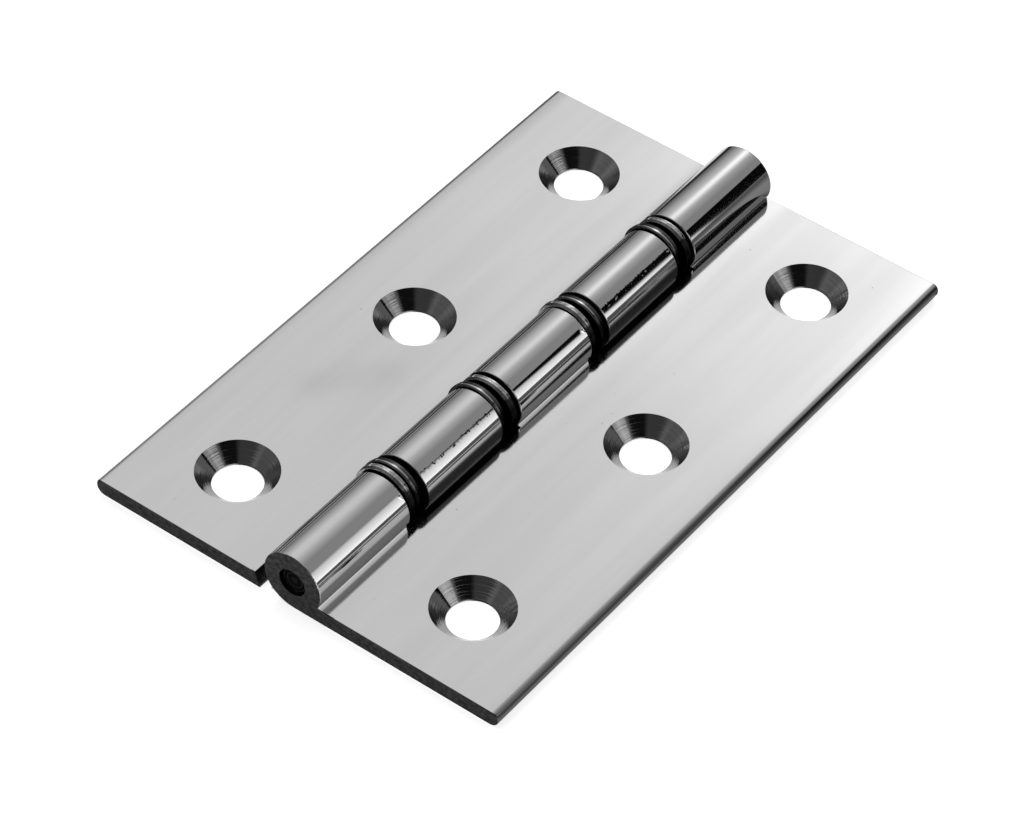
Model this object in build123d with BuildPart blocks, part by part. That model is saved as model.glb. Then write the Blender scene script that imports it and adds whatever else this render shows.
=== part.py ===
"""Washered butt hinge, lying open and flat on the backs of its leaves, screw holes upwards.

X runs across the leaves, Y along the pin and Z up. The origin is under the middle of the pin, on the
plane that the hinge lies on. The jamb leaf is on the +X side and the door leaf on the -X side.
Lengths are in millimetres.
"""
from build123d import *
import os
from math import cos, radians, sin

os.makedirs("parts", exist_ok=True)

# Leaves: one drawn section, a flat plate that runs tangent into a round barrel
hinge_length = 76.0
leaf_width = 25.0  # from the pin's axis to the outer edge
leaf_thickness = 1.9
front_edge_round = 0.7  # long outer edge, on the countersunk side
back_edge_round = 1.0
end_edge_round = 0.12

# Barrel: five knuckles, three on the jamb leaf and two on the door leaf
barrel_diameter = 7.0
end_knuckle_length = 14.0
joint_gap = 3.0  # from knuckle to knuckle, with two washers in it
knuckle_count = 5
knuckle_edge_round = 0.15

# Cuts that make room for the other leaf's knuckles and for the washers
barrel_relief_clearance = 0.4
relief_foot = 2.6  # from the pin's axis to the foot of the round relief
jamb_notch_front = 3.9  # from the pin's axis to the notch wall, at the front and at the back
jamb_notch_back = 3.9
door_notch_front = 4.7
door_notch_back = 4.1
near_ledge = 1.7  # plate left beside the washers, on the jamb leaf
far_ledge = 1.0
ledge_clearance = 0.3

# Pin: tight in the jamb leaf, free in the door leaf
pin_diameter = 3.2
pin_recess = 0.4  # below each end of the barrel
pin_end_chamfer = 0.2
pin_running_clearance = 0.05

# Washers: two in each joint, loose on the pin and a little off its axis
washer_diameter = 7.0
washer_thickness = 0.9
washer_edge_round = 0.22
washer_bore_clearance = 0.4
washer_lean = 0.68  # share of the bore clearance that a leaning washer has moved
washer_lean_angle = 150.0
# For each joint from the near end: the shares of the play before the first washer and between the two,
# and whether the first and the second washer lean
washer_rests = (
    (0.25, 0.20, True, True),
    (0.10, 0.50, True, False),
    (0.10, 0.57, True, False),
    (0.20, 0.50, True, False),
)

# Screw holes: a straight line of countersinks in each leaf
screw_hole_diameter = 5.3
countersink_diameter = 8.7
countersink_angle = 90.0
screw_hole_count = 3
screw_hole_pitch = 28.5
screw_line_distance = 14.75  # from the pin's axis

# Sizes that follow
barrel_radius = barrel_diameter / 2
pin_radius = pin_diameter / 2
axis_height = barrel_radius
near_end = -hinge_length / 2
far_end = hinge_length / 2
joint_count = knuckle_count - 1
inner_knuckle_length = (
    hinge_length - 2 * end_knuckle_length - joint_count * joint_gap
) / (knuckle_count - 2)
relief_radius = barrel_radius + barrel_relief_clearance
door_ledge = joint_gap - near_ledge - ledge_clearance
joint_play = joint_gap - 2 * washer_thickness
pin_axis = Axis((0, 0, axis_height), (0, 1, 0))


def knuckle_spans():
    """Start and end of every knuckle along the pin, from the near end to the far end."""
    spans = []
    start = near_end
    for index in range(knuckle_count):
        at_an_end = index in (0, knuckle_count - 1)
        length = end_knuckle_length if at_an_end else inner_knuckle_length
        spans.append((start, start + length))
        start += length + joint_gap
    return spans


knuckles = knuckle_spans()


def room_around(index, ledge_before, ledge_after):
    """Stretch that a leaf leaves free for the other leaf's knuckle of that index and its washers.

    It runs to the neighbouring knuckles, less the ledges, or to the open end of the hinge.
    """
    start = knuckles[index - 1][1] + ledge_before if index > 0 else near_end
    end = knuckles[index + 1][0] - ledge_after if index < knuckle_count - 1 else far_end
    return start, end


def leaf_solid(first, bore_radius, notch_front, notch_back, ledge_before, ledge_after):
    """One leaf on the +X side, with every second knuckle from the first."""
    with BuildPart() as leaf:
        # Plate of the drawn section, with its long outer edge rounded
        with BuildSketch(Plane.XZ) as plate_section:
            Rectangle(leaf_width, leaf_thickness, align=(Align.MIN, Align.MIN))
            outer = plate_section.vertices().group_by(Axis.X)[-1]
            fillet(outer.sort_by(Axis.Y)[-1], front_edge_round)
            outer = plate_section.vertices().group_by(Axis.Y)[0]
            fillet(outer.sort_by(Axis.X)[-1], back_edge_round)
        extrude(amount=hinge_length / 2, both=True)
        plate_front = leaf.faces().filter_by(Axis.Z).sort_by(Axis.Z)[-1]
        fillet(plate_front.edges().filter_by(Axis.X), end_edge_round)

        # Room for the other leaf's knuckles and for the washers
        for index in range(1 - first, knuckle_count, 2):
            start, end = room_around(index, 0, 0)
            with BuildSketch(Plane.XZ.offset(-end)):
                with Locations((0, axis_height)):
                    Circle(relief_radius)
                Rectangle(relief_foot, leaf_thickness, align=(Align.MIN, Align.MIN))
            extrude(amount=end - start, mode=Mode.SUBTRACT)
            start, end = room_around(index, ledge_before, ledge_after)
            with BuildSketch(Plane.XZ.offset(-end)):
                with BuildLine():
                    Polyline(
                        (0, 0), (notch_back, 0), (notch_front, leaf_thickness),
                        (0, leaf_thickness), close=True,
                    )
                make_face()
            extrude(amount=end - start, mode=Mode.SUBTRACT)

        # Knuckles, turned about the pin's axis with their edges broken
        for start, end in knuckles[first::2]:
            with BuildSketch(Plane.YZ) as knuckle_section:
                with Locations(((start + end) / 2, axis_height)):
                    Rectangle(end - start, barrel_radius, align=(Align.CENTER, Align.MIN))
                rims = knuckle_section.vertices().group_by(Axis.Y)[-1]
                fillet(rims, knuckle_edge_round)
            revolve(axis=pin_axis)
        with Locations(Plane(origin=(0, far_end, axis_height), z_dir=(0, 1, 0))):
            Hole(radius=bore_radius, depth=hinge_length)

        # Countersunk screw holes
        with Locations((screw_line_distance, 0, leaf_thickness)):
            with GridLocations(0, screw_hole_pitch, 1, screw_hole_count):
                CounterSinkHole(
                    radius=screw_hole_diameter / 2,
                    counter_sink_radius=countersink_diameter / 2,
                    counter_sink_angle=countersink_angle,
                )
    return leaf.part


# Jamb leaf: the end knuckles and the middle one, which hold the pin
with BuildPart() as jamb_leaf:
    add(
        leaf_solid(
            first=0,
            bore_radius=pin_radius,
            notch_front=jamb_notch_front,
            notch_back=jamb_notch_back,
            ledge_before=near_ledge,
            ledge_after=far_ledge,
        )
    )
jamb_leaf.part.label = "jamb_leaf"
export_step(jamb_leaf.part, "parts/jamb_leaf.step")

# Door leaf: the two knuckles between them, which turn on the pin
with BuildPart() as door_leaf:
    add(
        leaf_solid(
            first=1,
            bore_radius=pin_radius + pin_running_clearance,
            notch_front=door_notch_front,
            notch_back=door_notch_back,
            ledge_before=door_ledge,
            ledge_after=door_ledge,
        )
    )
    mirror(about=Plane.YZ, mode=Mode.REPLACE)
door_leaf.part.label = "door_leaf"
export_step(door_leaf.part, "parts/door_leaf.step")

# Pin, a little short of the barrel at both ends
with BuildPart() as pin:
    with BuildSketch(Plane.XZ):
        with Locations((0, axis_height)):
            Circle(pin_radius)
    extrude(amount=hinge_length / 2 - pin_recess, both=True)
    chamfer(pin.edges().filter_by(GeomType.CIRCLE), pin_end_chamfer)
pin.part.label = "pin"
export_step(pin.part, "parts/pin.step")


def washer_solid(start, leans):
    """One flat washer whose near face is at start along the pin."""
    shift = washer_lean * washer_bore_clearance if leans else 0
    centre_x = shift * cos(radians(washer_lean_angle))
    centre_z = axis_height + shift * sin(radians(washer_lean_angle))
    bore_radius = pin_radius + washer_bore_clearance
    section_plane = Plane(origin=(centre_x, start, centre_z), x_dir=(0, 1, 0), z_dir=(1, 0, 0))
    with BuildPart() as washer:
        with BuildSketch(section_plane) as washer_section:
            with Locations((0, bore_radius)):
                Rectangle(
                    washer_thickness, washer_diameter / 2 - bore_radius, align=(Align.MIN, Align.MIN)
                )
            rims = washer_section.vertices().group_by(Axis.Y)[-1]
            fillet(rims, washer_edge_round)
        revolve(axis=Axis((centre_x, 0, centre_z), (0, 1, 0)))
    return washer.part


# Washers, two in each joint, numbered from the near end
washer_number = 0
for (_, joint_start), rest in zip(knuckles, washer_rests):
    share_before, share_between, first_leans, second_leans = rest
    first_start = joint_start + share_before * joint_play
    second_start = first_start + washer_thickness + share_between * joint_play
    for washer_start, leans in ((first_start, first_leans), (second_start, second_leans)):
        washer_number += 1
        with BuildPart() as washer:
            add(washer_solid(washer_start, leans))
        washer.part.label = f"washer_{washer_number}"
        export_step(washer.part, f"parts/washer_{washer_number}.step")
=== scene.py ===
# %% [markdown]
# # A washered butt hinge, brightly plated
#
# The hinge lies open and flat on the backs of its leaves, screw holes upwards. Each leaf is one
# drawn brass section, a plate that runs into a round barrel. The barrel is cut into knuckles, a
# steel pin runs through them, and two loose steel washers sit in each joint. Everything is
# polished and plated except the cut ends.
#
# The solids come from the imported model, which fixes every place and size. This lesson gives them
# their finish, makes the washers again with the shape that a stamping press leaves, and sets up
# the camera, the light and the floor. X runs across the leaves, Y along the pin and Z up, and
# Blender counts in metres.

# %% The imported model
import math

import bpy
from mathutils import Matrix, Vector


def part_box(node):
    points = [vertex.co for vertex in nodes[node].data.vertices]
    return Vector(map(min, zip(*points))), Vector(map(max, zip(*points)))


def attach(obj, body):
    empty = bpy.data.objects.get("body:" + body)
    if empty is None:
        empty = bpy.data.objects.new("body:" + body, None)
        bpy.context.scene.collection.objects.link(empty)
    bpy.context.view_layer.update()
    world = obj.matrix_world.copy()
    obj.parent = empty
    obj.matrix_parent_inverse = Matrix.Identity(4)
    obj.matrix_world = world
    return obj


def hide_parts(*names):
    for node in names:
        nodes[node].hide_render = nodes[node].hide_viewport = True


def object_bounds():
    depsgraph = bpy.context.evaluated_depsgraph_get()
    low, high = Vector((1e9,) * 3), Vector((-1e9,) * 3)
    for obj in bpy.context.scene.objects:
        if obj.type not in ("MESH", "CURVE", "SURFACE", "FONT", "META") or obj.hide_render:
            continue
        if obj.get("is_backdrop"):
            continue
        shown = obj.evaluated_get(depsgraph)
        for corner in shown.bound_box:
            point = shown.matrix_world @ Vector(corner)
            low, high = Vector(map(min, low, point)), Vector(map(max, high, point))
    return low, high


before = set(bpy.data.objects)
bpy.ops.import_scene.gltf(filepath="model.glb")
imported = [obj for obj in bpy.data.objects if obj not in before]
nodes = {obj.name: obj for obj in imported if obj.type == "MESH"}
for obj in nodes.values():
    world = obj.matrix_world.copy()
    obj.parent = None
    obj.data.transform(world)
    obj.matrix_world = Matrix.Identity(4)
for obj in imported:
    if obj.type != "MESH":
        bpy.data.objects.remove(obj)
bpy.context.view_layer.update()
print("nodes:", sorted(nodes))

# %% [markdown]
# ## Sizes
#
# The finishes follow the hinge's own shape: a countersink is dark inside, a barrel is brighter
# than a plate. For that they need a few of the hinge's sizes, in millimetres, which is the unit
# that the finishes use too. A material's coordinates are scaled by 1000 before anything is
# measured in them. The door leaf's two knuckles lie as far before the middle as behind it, so
# one start and one end, counted from the middle, serve both.

# %% Sizes of the hinge
MM = 0.001
half_length = 38.0
leaf_width = 25.0
leaf_thickness = 1.9
axis_height = 3.5
barrel_radius = 3.5
door_knuckle_start, door_knuckle_end = 9.0, 21.0
screw_line = 14.75
screw_pitch = 28.5
sink_radius = 4.35
washer_bore = 2.0
print("leaves", 2 * half_length, "mm long, barrel", 2 * barrel_radius, "mm across")

# %% [markdown]
# ## Camera
#
# The photograph was taken from the near right, halfway up, with a long lens. Its place comes
# from the leaves' corners and the six screw holes: with these numbers they all fall where the
# photograph has them. A long lens far away keeps opposite edges nearly parallel. The camera also
# leans about two degrees, so the picture is turned by that much.

# %% Camera where the photograph was taken
azimuth, elevation, roll = (math.radians(angle) for angle in (35.548, 44.841, 2.311))
back = Vector((
    math.sin(azimuth) * math.cos(elevation),
    -math.cos(azimuth) * math.cos(elevation),
    math.sin(elevation),
))
right = Vector((math.cos(azimuth), math.sin(azimuth), 0))
up = back.cross(right)
rolled_right = right * math.cos(roll) + up * math.sin(roll)
rolled_up = up * math.cos(roll) - right * math.sin(roll)
distance, aim_right, aim_up = 438.747, 1.6687, 1.7814
camera_place = (back * distance - rolled_right * aim_right - rolled_up * aim_up) * MM

picture_width, focal_pixels = 1024, 4302.86
lens = bpy.data.cameras.new("photo_camera")
lens.sensor_width = 36
lens.lens = focal_pixels * lens.sensor_width / picture_width
lens.clip_start = 0.01
lens.clip_end = 50
camera = bpy.data.objects.new("photo_camera", lens)
camera.matrix_world = (
    Matrix.Translation(camera_place)
    @ Matrix((rolled_right, rolled_up, back)).transposed().to_4x4()
)
bpy.context.scene.collection.objects.link(camera)
bpy.context.scene.camera = camera
print("camera at", [round(1000 * value, 1) for value in camera_place], "mm, lens",
      round(lens.lens, 1))

# %% [markdown]
# ## Nodes written as sums
#
# A finish is a small sum over the surface: how far from the pin, how near to a hole, how rough.
# Drawn as nodes, such a sum is hard to read, so a small class wraps a socket and lets Python's
# own signs add the Math nodes. `1 - mask` then makes a Subtract node. All other nodes come from
# one method, which sets a node's settings first and its sockets after that.

# %% A socket that can be reckoned with
class Wire:
    """One output of a node tree, ready for sums and for other nodes."""

    def __init__(self, tree, socket=None):
        self.tree = tree
        self.socket = socket

    def node(self, kind, settings=None, sockets=None, output=0):
        """Adds a node, sets its settings and then its sockets, and returns one of its outputs."""
        made = self.tree.nodes.new(kind)
        for name, value in (settings or {}).items():
            setattr(made, name, value)
        for name, value in (sockets or {}).items():
            if isinstance(value, Wire):
                self.tree.links.new(value.socket, made.inputs[name])
            else:
                made.inputs[name].default_value = value
        return Wire(self.tree, made.outputs[output] if made.outputs else None)

    def math(self, operation, first, second=0.0, third=0.0):
        inputs = {0: first, 1: second, 2: third}
        return self.node("ShaderNodeMath", {"operation": operation}, inputs)

    def __add__(self, other):
        return self.math("ADD", self, other)

    def __sub__(self, other):
        return self.math("SUBTRACT", self, other)

    def __rsub__(self, other):
        return self.math("SUBTRACT", other, self)

    def __mul__(self, other):
        return self.math("MULTIPLY", self, other)

    def __truediv__(self, other):
        return self.math("DIVIDE", self, other)

    def __abs__(self):
        return self.math("ABSOLUTE", self)

    __radd__ = __add__
    __rmul__ = __mul__

    def sqrt(self):
        return self.math("SQRT", self)

    def exp(self):
        return self.math("EXPONENT", self)


print("a wire can do: + - * / abs sqrt exp")

# %% [markdown]
# Masks tell where a finish begins and ends. Each is a value that is 1 inside and 0 outside, with
# an edge as soft as the real one. The rest are short names for nodes that come back often: the
# parts of a vector, a sum of vectors, noise and a mix. Each is written as a function and then
# made a method of the class, so that `height.step(60, 75)` reads from left to right.

# %% Masks, vectors and noise
def step(self, low, high):
    """0 below low, 1 above high and a smooth rise between. With high under low it falls."""
    return self.node("ShaderNodeMapRange", {"interpolation_type": "SMOOTHSTEP"}, {
        "Value": self, "From Min": low, "From Max": high, "To Min": 0.0, "To Max": 1.0,
    })


def rise(self, low, high):
    """The same in a straight line."""
    return self.node("ShaderNodeMapRange", None, {
        "Value": self, "From Min": low, "From Max": high, "To Min": 0.0, "To Max": 1.0,
    })


def between(self, low, high, soft):
    """1 from low to high and 0 outside, over a soft edge on both sides."""
    return self.step(low - soft, low + soft) * self.step(high + soft, high - soft)


def parts(self):
    """The three parts of a vector."""
    return [self.node("ShaderNodeSeparateXYZ", None, {0: self}, index) for index in range(3)]


def joined(self, x, y, z):
    """A vector from three parts, in this wire's tree."""
    return self.node("ShaderNodeCombineXYZ", None, {0: x, 1: y, 2: z})


def vector(self, operation, other, output="Vector"):
    """A sum between this vector and another one, or a number for all three parts."""
    if isinstance(other, (int, float)):
        other = (other, other, other)
    inputs = {0: self, 1: other}
    return self.node("ShaderNodeVectorMath", {"operation": operation}, inputs, output)


def noise(self, scales, detail=2.0, roughness=0.5, output=0):
    """Smooth noise from 0 to 1 at this point, with so many waves a unit along each axis."""
    inputs = {"Vector": self.vector("MULTIPLY", scales), "Scale": 1.0}
    inputs.update({"Detail": detail, "Roughness": roughness})
    return self.node("ShaderNodeTexNoise", None, inputs, output)


def mix(self, low, high):
    """The colour or value between low and high that this mask picks."""
    if isinstance(low, tuple) or isinstance(high, tuple):
        inputs = {0: self, 6: low, 7: high}
        return self.node("ShaderNodeMix", {"data_type": "RGBA"}, inputs, 2)
    return self.node("ShaderNodeMix", {"data_type": "FLOAT"}, {0: self, 2: low, 3: high})


helpers = (step, rise, between, parts, joined, vector, noise, mix)
for helper in helpers:
    setattr(Wire, helper.__name__, helper)
print("helpers ready:", [helper.__name__ for helper in helpers])

# %% [markdown]
# ## Light
#
# Polished metal has hardly a colour of its own: it shows the room. A photographer therefore
# hangs large pale sheets around a piece like this one, with dark cards between them, and the
# bright and black streaks along the barrel are their reflections. Area lamps could do this, but
# the hinge is so small that sheets at a distance and sheets painted on the world look alike, and
# the world gives less grain. So the world is a function of the direction: `turned` counts the
# degrees around from +X towards +Y, and `height` the degrees above the floor.
#
# On the left behind the hinge hangs a sheet, paler higher up. It shades the flat leaves. Beside
# it, straight behind the hinge, the room is paler low down. A lamp behind the sheet shows
# through as one soft pool, which is the long highlight on the barrel.

# %% Sheet behind the hinge, with a lamp behind it
world = bpy.data.worlds.new("studio_room")
world.use_nodes = True
world.node_tree.nodes.clear()
room = Wire(world.node_tree)
direction = room.node("ShaderNodeTexCoord")
dir_x, dir_y, dir_z = direction.parts()
degree = 180 / math.pi
turned = room.math("WRAP", room.math("ARCTAN2", dir_y, dir_x) * degree, 300.0, -60.0)
height = room.math("ARCSINE", dir_z) * degree

open_room = 0.29
sheet = 0.12 + 0.63 * height.rise(3, 42)
sheet_share = turned.rise(66, 132) * turned.rise(250, 215)
level = open_room + sheet_share * (sheet - open_room)
level = level + 0.25 * turned.between(66, 108, 4) * height.step(22, 6)
pool_direction = (-0.26, 0.741, 0.6185)
pool_strength, pool_tightness = 1.89, 49.0
from_pool = direction.vector("DISTANCE", pool_direction, "Value")
level = level + pool_strength * (from_pool * from_pool * -pool_tightness).exp()
print("room nodes so far:", len(world.node_tree.nodes))

# %% [markdown]
# On the right stands a low window, brighter towards its near side: the wide streak along the
# barrel's flank. Beside it hangs a black card. Its slanting edges are why the black line is
# absent on the near knuckles and widens towards the far end.

# %% Window and black card on the right
window = turned.step(2, 8) * turned.step(42.5, 39.0)
window = window * (height + turned * 0.12).step(41, 33)
window_level = 0.84 - 0.022 * (height - 12) - 0.12 * turned.step(36, 41)
level = level + window * (window_level + 0.80 * turned.step(33, 24))

card_near_edge = (turned - height.rise(10, 33) * 2.5).step(38.8, 39.8)
card_far_edge = (turned - height.rise(23, 31) * 8.5).step(46.5, 45.0)
black_card = card_near_edge * card_far_edge * height.between(3, 34.7, 0.6)
level = level * (1 - 0.99 * black_card)
print("room nodes so far:", len(world.node_tree.nodes))

# %% [markdown]
# The photographer stands in front in the dark, and that dark is what the far walls of the
# countersinks show. To the left of it the lower room is half as bright as the sheet behind. Below
# the dark another sheet lies in front of the hinge, so that the leaves stay bright when they are
# seen from behind. The ceiling and the skirting of the room are a little paler.

# %% Camera side, front sheet and ceiling
camera_side = turned.step(6, -4) + turned.step(236, 262)
darkness = 0.62 + 0.33 * turned.step(-62, -42) * turned.step(6, -4)
level = level * (1 - camera_side * height.step(29, 34) * height.step(66, 54) * darkness)
level = level * (1 - 0.5 * turned.between(202, 238, 8) * height.step(45, 32))
front_sheet = (turned.step(1, -3) + turned.step(238, 252)) * height.between(6, 30, 1.5)
level = level + 0.55 * front_sheet
level = level + 0.25 * height.step(60, 75) + 0.30 * height.step(8, 3)
background = room.node("ShaderNodeBackground", None, {"Color": (1, 1, 1, 1), "Strength": level})
room.node("ShaderNodeOutputWorld", None, {"Surface": background})
bpy.context.scene.world = world
print("room nodes:", len(world.node_tree.nodes))

# %% [markdown]
# The world lights from all round and so casts hardly a shadow. One soft lamp behind the hinge on
# the left gives the floor its light and the hinge its shadow. It stays out of the reflections,
# where the sheets already are.

# %% Soft lamp
soft_light = bpy.data.lights.new("soft_lamp", "AREA")
soft_light.shape = "DISK"
soft_light.size = 0.5
soft_light.energy = 3.6
lamp = bpy.data.objects.new("soft_lamp", soft_light)
lamp.location = Vector((-0.45, 0.62, 0.75))
lamp.rotation_euler = lamp.location.to_track_quat("Z", "Y").to_euler()
lamp.visible_glossy = False
bpy.context.scene.collection.objects.link(lamp)
print("lamp", round(lamp.location.length, 2), "m from the hinge")

# %% [markdown]
# ## Floor
#
# The photograph's background is plain white. More light would bleach the hinge too, so the floor
# gets there another way: its own colour is nearly white, and it glows a little for the camera
# and for reflections alone, which keeps the soft shadow on it. Under the barrel, in the slot
# between the leaves, a painted shadow makes the floor nearly black and leaves out its glow.

# %% Pale floor
def new_finish(name):
    """An empty material, and a wire to its tree."""
    material = bpy.data.materials.new(name)
    material.use_nodes = True
    material.node_tree.nodes.clear()
    return material, Wire(material.node_tree)


def place_on(tree):
    """The point on the piece, in millimetres and in the piece's own axes."""
    return tree.node("ShaderNodeTexCoord", None, None, "Object").vector("MULTIPLY", 1 / MM)


def grey(value):
    return (value, value, value, 1.0)


floor_paint, paint = new_finish("floor_paint")
point = place_on(paint)
x, y, z = point.parts()
# Painted shadow: the floor under the barrel is nearly black and gets no glow.
painted_shadow_under_barrel = abs(x).step(barrel_radius - 0.1, barrel_radius - 0.4)
painted_shadow_under_barrel = painted_shadow_under_barrel * abs(y).step(half_length - 0.5, half_length - 1.0)
grain = point.noise((0.18, 0.18, 0.18), 3.0)
pale = grain.mix(grey(0.90), grey(0.93))
matt = paint.node("ShaderNodeBsdfDiffuse", None, {"Color": painted_shadow_under_barrel.mix(pale, grey(0.02))})
seen = paint.node("ShaderNodeLightPath")
for ray in ("Is Glossy Ray", "Is Transmission Ray"):
    seen = seen + paint.node("ShaderNodeLightPath", None, None, ray)
glow_strength = 0.68
glow = paint.node("ShaderNodeEmission", None, {
    "Color": (1, 1, 1, 1), "Strength": seen * (1 - painted_shadow_under_barrel) * glow_strength,
})
both = paint.node("ShaderNodeAddShader", None, {0: matt, 1: glow})
paint.node("ShaderNodeOutputMaterial", None, {"Surface": both})

floor_radius, floor_corners, floor_height = 4.0, 64, -0.00002
floor_points = []
for corner in range(floor_corners):
    turn = 2 * math.pi * corner / floor_corners
    floor_x, floor_y = floor_radius * math.cos(turn), floor_radius * math.sin(turn)
    floor_points.append((floor_x, floor_y, floor_height))
floor_mesh = bpy.data.meshes.new("floor")
floor_mesh.from_pydata(floor_points, [], [tuple(range(floor_corners))])
floor_mesh.materials.append(floor_paint)
floor = bpy.data.objects.new("floor", floor_mesh)
bpy.context.scene.collection.objects.link(floor)
floor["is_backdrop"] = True
print("floor", 2 * floor_radius, "m across")

# %% [markdown]
# ## Low cards
#
# Close around a small shiny piece, photographers stand strips of dark paper on the bench, just
# outside the picture. They draw the thin dark line along the barrel's foot and give the edges
# their outline. These are far nearer than the sheets, so painting them on the world would be
# wrong: their reflection shifts from knuckle to knuckle. They are real faces here, seen in
# reflections alone. Four strips stand around the hinge, a fifth stands behind the barrel's far
# end, and two lie on the floor beside the right leaf and behind it. Each gives off as little
# light as dark paper does here. It is paler where the lamp catches it: near the tops, straight
# behind the hinge, at the foot of the fifth strip and on the floor beside the right leaf.

# %% Strips of dark paper
card_paint, card = new_finish("card_paint")
x, y, z = place_on(card).parts()
near_top = z.step(6, 12)
straight_behind = x.between(-20, 26, 6) * y.step(60, 70)
fifth_foot = z.step(6, 0) * y.between(40, 55, 1)
on_floor = z.step(0.4, 0.2) * x.step(20, 25)
glimmer = 0.10 + 0.08 * near_top + 0.45 * straight_behind + 0.17 * fifth_foot + 0.45 * on_floor
dark_paper = card.node("ShaderNodeEmission", None, {"Color": (1, 1, 1, 1), "Strength": glimmer})
card.node("ShaderNodeOutputMaterial", None, {"Surface": dark_paper})


def standing(start, end, top):
    """Corners of a strip that stands between two places, in millimetres."""
    return [(*start, 0), (*end, 0), (*end, top), (*start, top)]


def lying(*corners):
    """Corners of a strip that lies just above the floor."""
    return [(*corner, 0.05) for corner in corners]


ring = [(-88, 13), (6, 90), (74, -17), (-4, -79)]
ring_top, far_top = 10.5, 6.8
strips = [standing(ring[corner - 1], ring[corner], ring_top) for corner in range(4)]
strips.append(standing((4, 46), (36, 46), far_top))
strips.append(lying((26.3, -half_length), (74, -17), (26.3, 58)))
strips.append(lying((3, 38.4), (26.2, 38.4), (26.2, 47), (3, 47)))
card_points, card_faces = [], []
for strip in strips:
    card_faces.append(tuple(range(len(card_points), len(card_points) + len(strip))))
    card_points += [Vector(place) * MM for place in strip]
card_mesh = bpy.data.meshes.new("low_cards")
card_mesh.from_pydata(card_points, [], card_faces)
card_mesh.materials.append(card_paint)
cards = bpy.data.objects.new("low_cards", card_mesh)
cards.visible_camera = False
cards.visible_diffuse = False
cards.visible_shadow = False
bpy.context.scene.collection.objects.link(cards)
cards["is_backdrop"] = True
print("strips of paper:", len(card_faces))

# %% [markdown]
# ## Plated leaves
#
# Both leaves were drawn, sawn, drilled, polished and then plated, and each step left its own
# marks in its own place. One material could be one bright metal all over, but then the hinge
# would look cast from a single lump. So masks find the places from the hinge's sizes: the barrel
# by its distance from the pin, a countersink by its distance from the nearest screw, a cut end
# by the way it faces. One material serves both leaves, because their sections are the same.

# %% Where the finish of a leaf changes
plating, leaf = new_finish("plated_leaf_finish")
point = place_on(leaf)
facing = leaf.node("ShaderNodeTexCoord", None, None, "Normal")
x, y, z = point.parts()
_, facing_y, facing_z = facing.parts()

# Around the pin: distance from its axis, and the angle from +X upwards
above_axis = z - axis_height
from_pin = (x * x + above_axis * above_axis).sqrt()
angle = leaf.math("ARCTAN2", above_axis, x) * degree
barrel = from_pin.step(barrel_radius + 0.16, barrel_radius + 0.06)

# Around the nearest screw hole: distance from its axis
side_of_pin = leaf.math("SIGN", x)
across = abs(x) - screw_line
along = y - leaf.math("SNAP", y + screw_pitch / 2, screw_pitch)
from_hole = (across * across + along * along).sqrt()
sink = from_hole.step(sink_radius - 0.005, sink_radius - 0.03) * z.step(0.03, 0.06)
print("leaf finish nodes so far:", len(plating.node_tree.nodes))

# %% [markdown]
# The saw and the milling cutter come after drawing, and what they leave is matt: all ends, and
# the walls beside the knuckles. Their colour is painted nearly black as well, painted shade and
# painted reflection of a dark bench. The polishing wheel rounds the long outer edges. Painted
# shade and painted reflection also darken these rounded edges and, more, their foot; a thin dark
# line along the barrel's upper left side; the rim at each knuckle's end; and the flank of a
# knuckle that turns into the other leaf's slot, for the dark slot that it reflects. That flank is
# rougher too, and darkened up to the pin's height, and a little higher on the door leaf's
# knuckles.

# %% Cut faces, edges and places that the wheel misses
# The cut faces are matt, and their near-black colour below is painted shade.
cut_end = abs(facing_y).step(0.65, 0.85)
notch_wall = (1 - barrel) * from_pin.step(5.5, 5.3) * abs(facing_z).step(0.97, 0.9)
cut = leaf.math("MAXIMUM", cut_end, notch_wall)
# Painted shade: the rounded rim at each knuckle's end is darkened.
rim = barrel * abs(facing_y).step(0.10, 0.35)
# Painted shade and painted reflection: the rounded outer edges are darkened, their foot more so.
edge = abs(x).step(leaf_width - 0.7, leaf_width - 0.4) * facing_z.step(0.97, 0.7)
edge_foot_shade = abs(x).step(leaf_width - 0.5, leaf_width - 0.2) * z.step(1.15, 0.45)
# Painted reflection: a thin dark line along the barrel, 124 degrees round from +X.
dark_line_angle = 124
painted_dark_line = barrel * abs(angle - dark_line_angle).step(7, 3)
door_knuckle = abs(y).between(door_knuckle_start - 0.5, door_knuckle_end + 0.5, 0.2)
slot_side = door_knuckle * x.step(0.0, 0.5) + (1 - door_knuckle) * x.step(0.0, -0.5)
# Painted reflection of the dark slot: the knuckle's flank towards it is darkened, and rougher.
painted_flank_shade = barrel * slot_side * (z - 0.95 * door_knuckle).step(3.8, 3.3)
print("leaf finish nodes so far:", len(plating.node_tree.nodes))

# %% [markdown]
# Bright plating on polished brass is nearly a mirror. What keeps it from looking like glass is
# faint: hair-fine streaks along the drawn length, broad pale and dull bands from the wheel, and a
# few pinholes. Streaks and bands run along Y, so their noise is stretched that way. Where the
# door leaf has been picked up, between two screws, a touch has left a faint slanting smudge. The
# cut faces show the saw's lines and a dull mottling instead.

# %% Colour and roughness of the leaves
streaks = point.noise((9.0, 0.16, 9.0), 4.0, 0.6)
bands = point.noise((0.40, 0.03, 0.40), 2.0).step(0.3, 0.7)
pinholes = leaf.node("ShaderNodeTexVoronoi", None, {"Vector": point, "Scale": 0.42})
pinholes = pinholes.step(0.035, 0.02) * point.noise((0.3, 0.3, 0.3), 1.0).step(0.5, 0.6)
saw_lines = point.noise((0.9, 0.9, 13.0), 3.0, 0.6)
saw = 0.5 * saw_lines + 0.5 * point.noise((2.0, 2.0, 2.0), 3.0, 0.6)

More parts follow.
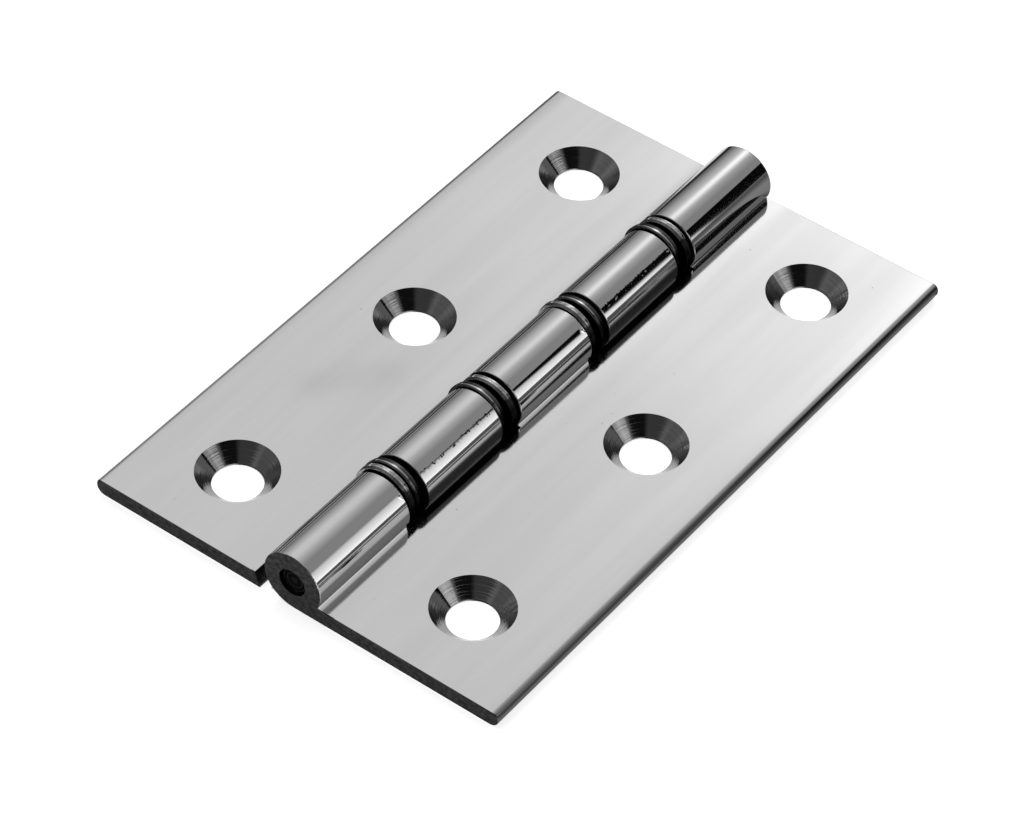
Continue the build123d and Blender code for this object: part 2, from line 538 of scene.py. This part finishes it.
base = bands.mix(grey(0.685), grey(0.755))
base = (streaks * 0.5 + 0.25).mix(grey(0.67), base)
smudge = 0.0
for touch_x, touch_y in ((-16.6, -14.2), (-14.3, -11.3), (-12.2, -8.3)):
    touch = (touch_x, touch_y, leaf_thickness)
    from_touch = point.vector("DISTANCE", touch, "Value")
    smudge = smudge + (from_touch * from_touch * -0.2).exp()
# Of these layers, the edges, their foot, the dark line, the knuckle rims, the flank and the cut
# faces are painted shade and painted reflection.
layers = (
    (smudge * 0.08, grey(0.0)),
    (pinholes, grey(0.25)),
    (edge, grey(0.11)),
    (edge_foot_shade, grey(0.03)),
    (painted_dark_line, grey(0.17)),
    (sink, grey(0.28)),
    (rim, grey(0.36)),
    (painted_flank_shade, saw.mix(grey(0.05), grey(0.10))),
    (cut, saw.step(0.36, 0.66).mix(grey(0.010), grey(0.048))),
)
for mask, colour in layers:
    base = mask.mix(base, colour)

rough = barrel.mix(streaks.mix(0.05, 0.11), 0.045)
for mask, roughness in ((sink, 0.06), (painted_flank_shade, 0.28), (cut, saw.mix(0.38, 0.48))):
    rough = mask.mix(rough, roughness)
print("leaf finish nodes so far:", len(plating.node_tree.nodes))

# %% [markdown]
# Marks that a finger hardly feels still bend a reflection. They could be bumps, but a bump of a
# few thousandths of a millimetre is coarse and grainy in a mirror. Here the surface's facing is
# tilted directly, which gives clean reflections. The countersinking tool leaves rings in the
# countersinks. On the door leaf's knuckles the wheel has chattered along one line, where fine
# teeth and nicks break up the black streak.

# %% Turning marks and chatter
outwards = leaf.joined(across * side_of_pin, along, 0.0).vector("DIVIDE", from_hole)
rings = leaf.node("ShaderNodeTexNoise", {"noise_dimensions": "1D"}, {
    "W": from_hole, "Scale": 15.0, "Detail": 4.0, "Roughness": 0.7,
})
up_the_wall = outwards.vector("ADD", (0.0, 0.0, 1.0))
ring_lean, nick_lean = 0.42, 0.045
tilt = up_the_wall.vector("MULTIPLY", (rings - 0.5) * sink * ring_lean)

chatter_angle = 50
chatter = barrel * abs(angle - chatter_angle).step(9, 5) * door_knuckle
around_pin = leaf.joined((axis_height - z) / from_pin, 0.0, x / from_pin)
teeth = point.noise((0.9, 4.4, 0.9), 3.0, 0.7) - 0.5
patches = 0.05 + 0.09 * point.noise((0.2, 0.9, 0.2), 1.0).step(0.45, 0.6)
tilt = tilt.vector("ADD", around_pin.vector("MULTIPLY", teeth * chatter * patches))
nicks = point.noise((3.0, 2.4, 3.0), 1.0, 0.5).step(0.54, 0.68) * chatter
nicks = nicks * abs(angle - (chatter_angle + 0.5)).step(5.0, 3.5)
tilt = tilt.vector("ADD", leaf.joined(0.0, nicks * nick_lean, 0.0))
print("leaf finish nodes so far:", len(plating.node_tree.nodes))

# %% [markdown]
# A drawn plate is never quite flat. It rises a little towards the barrel and falls a little at
# its outer edge, and rolling has left very long waves in it. Two knocks from assembly sit on the
# barrel, each at the end of a knuckle.

# %% Waves and dents
flat = (1 - barrel) * facing_z.step(0.9, 0.98) * (1 - sink)
brim = abs(x).rise(leaf_width - 2.6, leaf_width - 0.6)
foot_lean, brim_lean, wave_lean = 0.07, 0.085, 0.03
fall = flat * (foot_lean * abs(x).step(6.2, 3.9) + brim_lean * brim * brim)
tilt = tilt.vector("ADD", leaf.joined(side_of_pin * fall, 0.0, 0.0))
waves = point.noise((0.07, 0.035, 0.07), 1.0, 0.5, "Color").vector("SUBTRACT", 0.5)
tilt = tilt.vector("ADD", waves.vector("MULTIPLY", wave_lean))


def dent(along_pin, turn, radius):
    """Lean of the surface around a small round dent in the barrel, turn degrees from +X."""
    lean = math.radians(turn)
    centre = (
        barrel_radius * math.cos(lean),
        along_pin,
        axis_height + barrel_radius * math.sin(lean),
    )
    away = point.vector("SUBTRACT", centre)
    depth = 0.3
    near = (away.vector("DOT_PRODUCT", away, "Value") * (-1 / radius ** 2)).exp()
    return away.vector("MULTIPLY", near * (depth / radius ** 2))


tilt = tilt.vector("ADD", dent(along_pin=-24.12, turn=46, radius=0.26))
tilt = tilt.vector("ADD", dent(along_pin=5.85, turn=47, radius=0.25))
print("leaf finish nodes so far:", len(plating.node_tree.nodes))

# %% [markdown]
# Blender's metal turns to a plain mirror when seen along its surface. Plated brass that has been
# handled doesn't quite, so the tint for such grazing rays is held down with a fixed grey. The
# tilted facing goes in as the normal, with a very shallow relief of streaks and saw marks on it.

# %% The leaves' material, put together
def metal(tree, colour, roughness, relief, grazing, normal=None):
    """Puts a metal surface on the tree's output. The relief is in millimetres."""
    bump_inputs = {"Height": relief, "Strength": 1.0, "Distance": MM}
    if normal is not None:
        bump_inputs["Normal"] = normal
    surface = tree.node("ShaderNodeBsdfPrincipled", None, {
        "Base Color": colour,
        "Metallic": 1.0,
        "Roughness": roughness,
        "Specular Tint": grey(grazing),
        "Normal": tree.node("ShaderNodeBump", None, bump_inputs),
    })
    tree.node("ShaderNodeOutputMaterial", None, {"Surface": surface})


def give(material, names):
    """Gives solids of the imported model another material."""
    for name in names:
        nodes[name].data.materials.clear()
        nodes[name].data.materials.append(material)


to_world = {"vector_type": "NORMAL", "convert_from": "OBJECT", "convert_to": "WORLD"}
leaning = facing.vector("ADD", tilt).vector("NORMALIZE", 0.0)
normal = leaf.node("ShaderNodeVectorTransform", to_world, {0: leaning})
streak_depth, saw_depth = 0.0006, 0.005
relief = streaks * streak_depth + cut * saw * saw_depth
metal(leaf, base, rough, relief, grazing=0.62, normal=normal)
give(plating, ("jamb_leaf", "door_leaf"))
print("leaf finish nodes:", len(plating.node_tree.nodes))

# %% [markdown]
# ## Pin
#
# Only the pin's two ends show, a little way inside the barrel. They are steel, cut off in a
# lathe, and painted nearly black: painted shade of their place inside the barrel. Rings around
# the pin's axis are what the lathe leaves, and noise of the distance from that axis draws them.

# %% Pin steel
pin_finish, rod = new_finish("pin_steel_finish")
x, _, z = place_on(rod).parts()
above_axis = z - axis_height
from_middle = (x * x + above_axis * above_axis).sqrt()
lathe = rod.node("ShaderNodeTexNoise", {"noise_dimensions": "1D"}, {
    "W": from_middle, "Scale": 5.0, "Detail": 4.0, "Roughness": 0.6,
})
pin_shaded_grey = lathe.step(0.3, 0.7).mix(grey(0.0), grey(0.025))
ring_depth = 0.03
metal(rod, pin_shaded_grey, lathe.mix(0.5, 0.3), lathe * ring_depth, grazing=0.3)
give(pin_finish, ("pin",))
print("pin finish nodes:", len(pin_finish.node_tree.nodes))

# %% [markdown]
# ## Washer steel
#
# The washers are steel, stamped out of strip. A punch first rolls the edge over, then shears a
# narrow bright band, and the rest of the rim tears off dull. So the rim needs to know how far
# across it a point lies. The shape, made below, stores that on the mesh: `across_rim` runs from
# 0 on the rolled side to 1 on the torn side. Washers that were put in the other way round are
# paler and mottled where they have rubbed, and `pale_washer` marks them. The side towards the
# slot, low down and towards +X, is painted nearly black and rougher: painted shade.

# %% Colour and roughness of the washers
washer_finish, disc = new_finish("washer_steel_finish")
point = place_on(disc)
x, y, z = point.parts()
facing_y = disc.node("ShaderNodeTexCoord", None, None, "Normal").parts()[1]
stored = "ShaderNodeAttribute"
across_rim = disc.node(stored, {"attribute_name": "across_rim"}, None, "Fac")
pale_washer = disc.node(stored, {"attribute_name": "pale_washer"}, None, "Fac")
on_rim = abs(facing_y).step(0.95, 0.7)
torn = across_rim.step(0.52, 0.64) * on_rim
sheared = across_rim.between(0.24, 0.40, 0.07) * on_rim
stripe = across_rim.between(0.30, 0.36, 0.03) * on_rim

scuff = point.noise((1.2, 1.2, 1.2), 5.0, 0.65)
tears = point.noise((5.0, 0.5, 5.0), 4.0, 0.7)
plain = scuff.mix(grey(0.05), grey(0.13))
plain = sheared.mix(plain, scuff.mix(grey(0.62), grey(0.85)))
rubbed = scuff.step(0.34, 0.60).mix(grey(0.34), grey(0.92))
rubbed = (stripe * 0.7).mix(rubbed, grey(0.10))
base = pale_washer.mix(plain, rubbed)
base = torn.mix(base, tears.mix(grey(0.03), grey(0.22)))

# Painted shade: the washers darken towards their low side by the slot.
lowness = x * 0.8 - (z - axis_height) * 0.6 + (scuff - 0.5) * 1.4
painted_low_shade = pale_washer.mix(lowness.step(-0.6, 1.4), lowness.step(-0.1, 0.6))
base = (painted_low_shade * 0.98).mix(base, grey(0.008))
rough = torn.mix(scuff.mix(0.05, 0.13), 0.30)
rough = painted_low_shade.mix(rough, 0.30)
scuff_depth, tear_depth = 0.004, 0.012
relief = scuff * scuff_depth + torn * tears * tear_depth
metal(disc, base, rough, relief, grazing=0.3)
print("washer finish nodes:", len(washer_finish.node_tree.nodes))

# %% [markdown]
# ## Washer shape
#
# A stamped washer is not a turned disc: one rim is rolled over, the other is sharp, and the torn
# part leans inwards because the die was a little wider than the punch. Its shape follows a rule,
# and the hinge has eight, so one tree of Geometry Nodes makes them all. The named inputs are a
# washer's place, its sizes, which way round it is, and a seed. The tree draws the section as a
# small rectangle, rounds its corners and runs it around a circle. The rectangle's corners 3 and
# 0 are the outer ones, on the near and the far side, and each has a rounding of its own.

# %% Section of the rim, run around a circle
shaping = bpy.data.node_groups.new("stamped_washer", "GeometryNodeTree")
shaping.interface.new_socket("Geometry", in_out="OUTPUT", socket_type="NodeSocketGeometry")
shaping.interface.new_socket("Place", in_out="INPUT", socket_type="NodeSocketVector")
for name in ("Outer Radius", "Bore Radius", "Thickness", "Rolled Edge", "Torn Edge",
             "Turned Over", "Slope", "Seed"):
    shaping.interface.new_socket(name, in_out="INPUT", socket_type="NodeSocketFloat")
press = Wire(shaping)


def given(name):
    return press.node("NodeGroupInput", None, None, name)


def geometry(kind, before, settings=None, **sockets):
    """A node that takes geometry in and gives it out changed. Spaces are _ in socket names."""
    inputs = {"Geometry": before}
    inputs.update({name.replace("_", " "): value for name, value in sockets.items()})
    return press.node(kind, settings, inputs)


wall = given("Outer Radius") - given("Bore Radius")
section = press.node("GeometryNodeCurvePrimitiveQuadrilateral", None, {
    "Width": wall, "Height": given("Thickness"),
})
corner = press.node("GeometryNodeInputIndex")
near_corner = corner.math("COMPARE", corner, 3.0, 0.1)
far_corner = corner.math("COMPARE", corner, 0.0, 0.1)
over = given("Turned Over")
near_round = over.mix(given("Rolled Edge"), given("Torn Edge"))
far_round = over.mix(given("Torn Edge"), given("Rolled Edge"))
inner_round, points_in_round = 0.05 * MM, 8
rounding = near_corner * near_round + far_corner * far_round
rounding = rounding + (1 - near_corner - far_corner) * inner_round
section = press.node("GeometryNodeFilletCurve", {"mode": "POLY"}, {
    "Curve": section, "Count": points_in_round, "Radius": rounding,
})
section = press.node("GeometryNodeSubdivideCurve", None, {"Curve": section, "Cuts": 1})
points_around = 144
circle = press.node("GeometryNodeCurvePrimitiveCircle", {"mode": "RADIUS"}, {
    "Resolution": points_around, "Radius": given("Outer Radius") - wall * 0.5,
})
washer = press.node("GeometryNodeCurveToMesh", None, {"Curve": circle, "Profile Curve": section})
washer = geometry("GeometryNodeTransform", washer, Rotation=(math.radians(90), 0, 0))
print("washer nodes so far:", len(shaping.nodes))

# %% [markdown]
# Next the tree stores how far across the rim each point lies, for the material, and pulls the
# torn part of the rim inwards. A punch never cuts quite evenly, so a little noise moves every
# point by a hundredth of a millimetre or two. A seed for each washer keeps them unlike each
# other and the same on every run.

# %% Torn rim, uneven surface and the finished washer
stored_value = {"data_type": "FLOAT", "domain": "POINT"}
share = press.node("GeometryNodeInputPosition").parts()[1] / given("Thickness") + 0.5
from_rolled = abs(over - share)
for name, value in (("across_rim", from_rolled), ("pale_washer", over)):
    washer = geometry(
        "GeometryNodeStoreNamedAttribute", washer, stored_value, Name=name, Value=value
    )
from_x, _, from_z = press.node("GeometryNodeInputPosition").parts()
from_axis = (from_x * from_x + from_z * from_z).sqrt()
on_rim = press.math("GREATER_THAN", from_axis, given("Bore Radius") * 1.3)
pulled = from_rolled.step(0.35, 1.0) * on_rim * given("Slope")
inwards = press.joined(from_x / from_axis, 0.0, from_z / from_axis)
washer = geometry(
    "GeometryNodeSetPosition", washer, Offset=inwards.vector("MULTIPLY", pulled * -1.0)
)

unevenness = (0.03 * MM, 0.05 * MM, 0.03 * MM)
waves_a_metre = (450.0, 250.0, 450.0)
here = press.node("GeometryNodeInputPosition").vector("MULTIPLY", waves_a_metre)
uneven = press.node("ShaderNodeTexNoise", {"noise_dimensions": "4D"}, {
    "Vector": here, "W": given("Seed"), "Scale": 1.0, "Detail": 2.0,
}, "Color").vector("SUBTRACT", 0.5)
washer = geometry(
    "GeometryNodeSetPosition", washer, Offset=uneven.vector("MULTIPLY", unevenness)
)
washer = geometry("GeometryNodeTransform", washer, Translation=given("Place"))
washer = geometry("GeometryNodeSetShadeSmooth", washer)
washer = geometry("GeometryNodeRealizeInstances", washer)
washer = geometry("GeometryNodeSetMaterial", washer, Material=washer_finish)
press.node("NodeGroupOutput", None, {"Geometry": washer})
print("washer nodes:", len(shaping.nodes))

# %% [markdown]
# ## Eight washers
#
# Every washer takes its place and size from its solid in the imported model. It is loose on the
# pin and turns by itself, so each is a piece of its own that rides on its own body and stands
# for the plain solid. Those that were put in the other way round have rubbed down, and their
# torn part slopes less. The tree's result is copied into a plain mesh, and its volume is worked
# out: a positive one shows that the faces point outwards.

# %% Press the washers
washer_sockets = {
    item.name: item.identifier
    for item in shaping.interface.items_tree if item.in_out == "INPUT"
}
washer_count = 8
rolled_side_near = (2, 3, 6, 7)
slope, slope_rubbed_off = 0.11, 0.07


def volume_of(mesh):
    """Volume that the faces enclose, positive when they face outwards."""
    mesh.calc_loop_triangles()
    total = 0.0
    for triangle in mesh.loop_triangles:
        a, b, c = (mesh.vertices[index].co for index in triangle.vertices)
        total += a.dot(b.cross(c)) / 6
    return total


for number in range(1, washer_count + 1):
    body = f"washer_{number}"
    low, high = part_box(body)
    turned_over = 0.0 if number in rolled_side_near else 1.0
    sizes = {
        "Place": tuple((low + high) / 2),
        "Outer Radius": (high.x - low.x) / 2,
        "Bore Radius": washer_bore * MM,
        "Thickness": high.y - low.y,
        "Rolled Edge": 0.15 * MM,
        "Torn Edge": 0.08 * MM,
        "Turned Over": turned_over,
        "Slope": (slope - slope_rubbed_off * turned_over) * MM,
        "Seed": float(number),
    }
    holder = bpy.data.objects.new("washer_holder", bpy.data.meshes.new("washer_blank"))
    bpy.context.scene.collection.objects.link(holder)
    modifier = holder.modifiers.new("stamped_washer", "NODES")
    modifier.node_group = shaping
    for name, value in sizes.items():
        modifier[washer_sockets[name]] = value
    bpy.context.view_layer.update()
    graph = bpy.context.evaluated_depsgraph_get()
    mesh = bpy.data.meshes.new_from_object(
        holder.evaluated_get(graph), preserve_all_data_layers=True, depsgraph=graph
    )
    bpy.data.objects.remove(holder)
    piece = bpy.data.objects.new(f"stamped_{body}", mesh)
    bpy.context.scene.collection.objects.link(piece)
    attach(piece, body)
    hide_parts(body)
    print(piece.name, "volume", round(volume_of(mesh) / MM ** 3, 2), "mm3,",
          len(mesh.loop_triangles), "triangles")

# %% [markdown]
# ## The end
#
# Colours show as written under the Standard view. At the end the size of the dressed model's box
# is printed. The dressed model has to keep the packed model's size.

# %% View, sizes of the dressed model, and the end
bpy.context.scene.view_settings.view_transform = "Standard"
low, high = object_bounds()
print("visual box in mm:", [round(1000 * size, 3) for size in high - low])
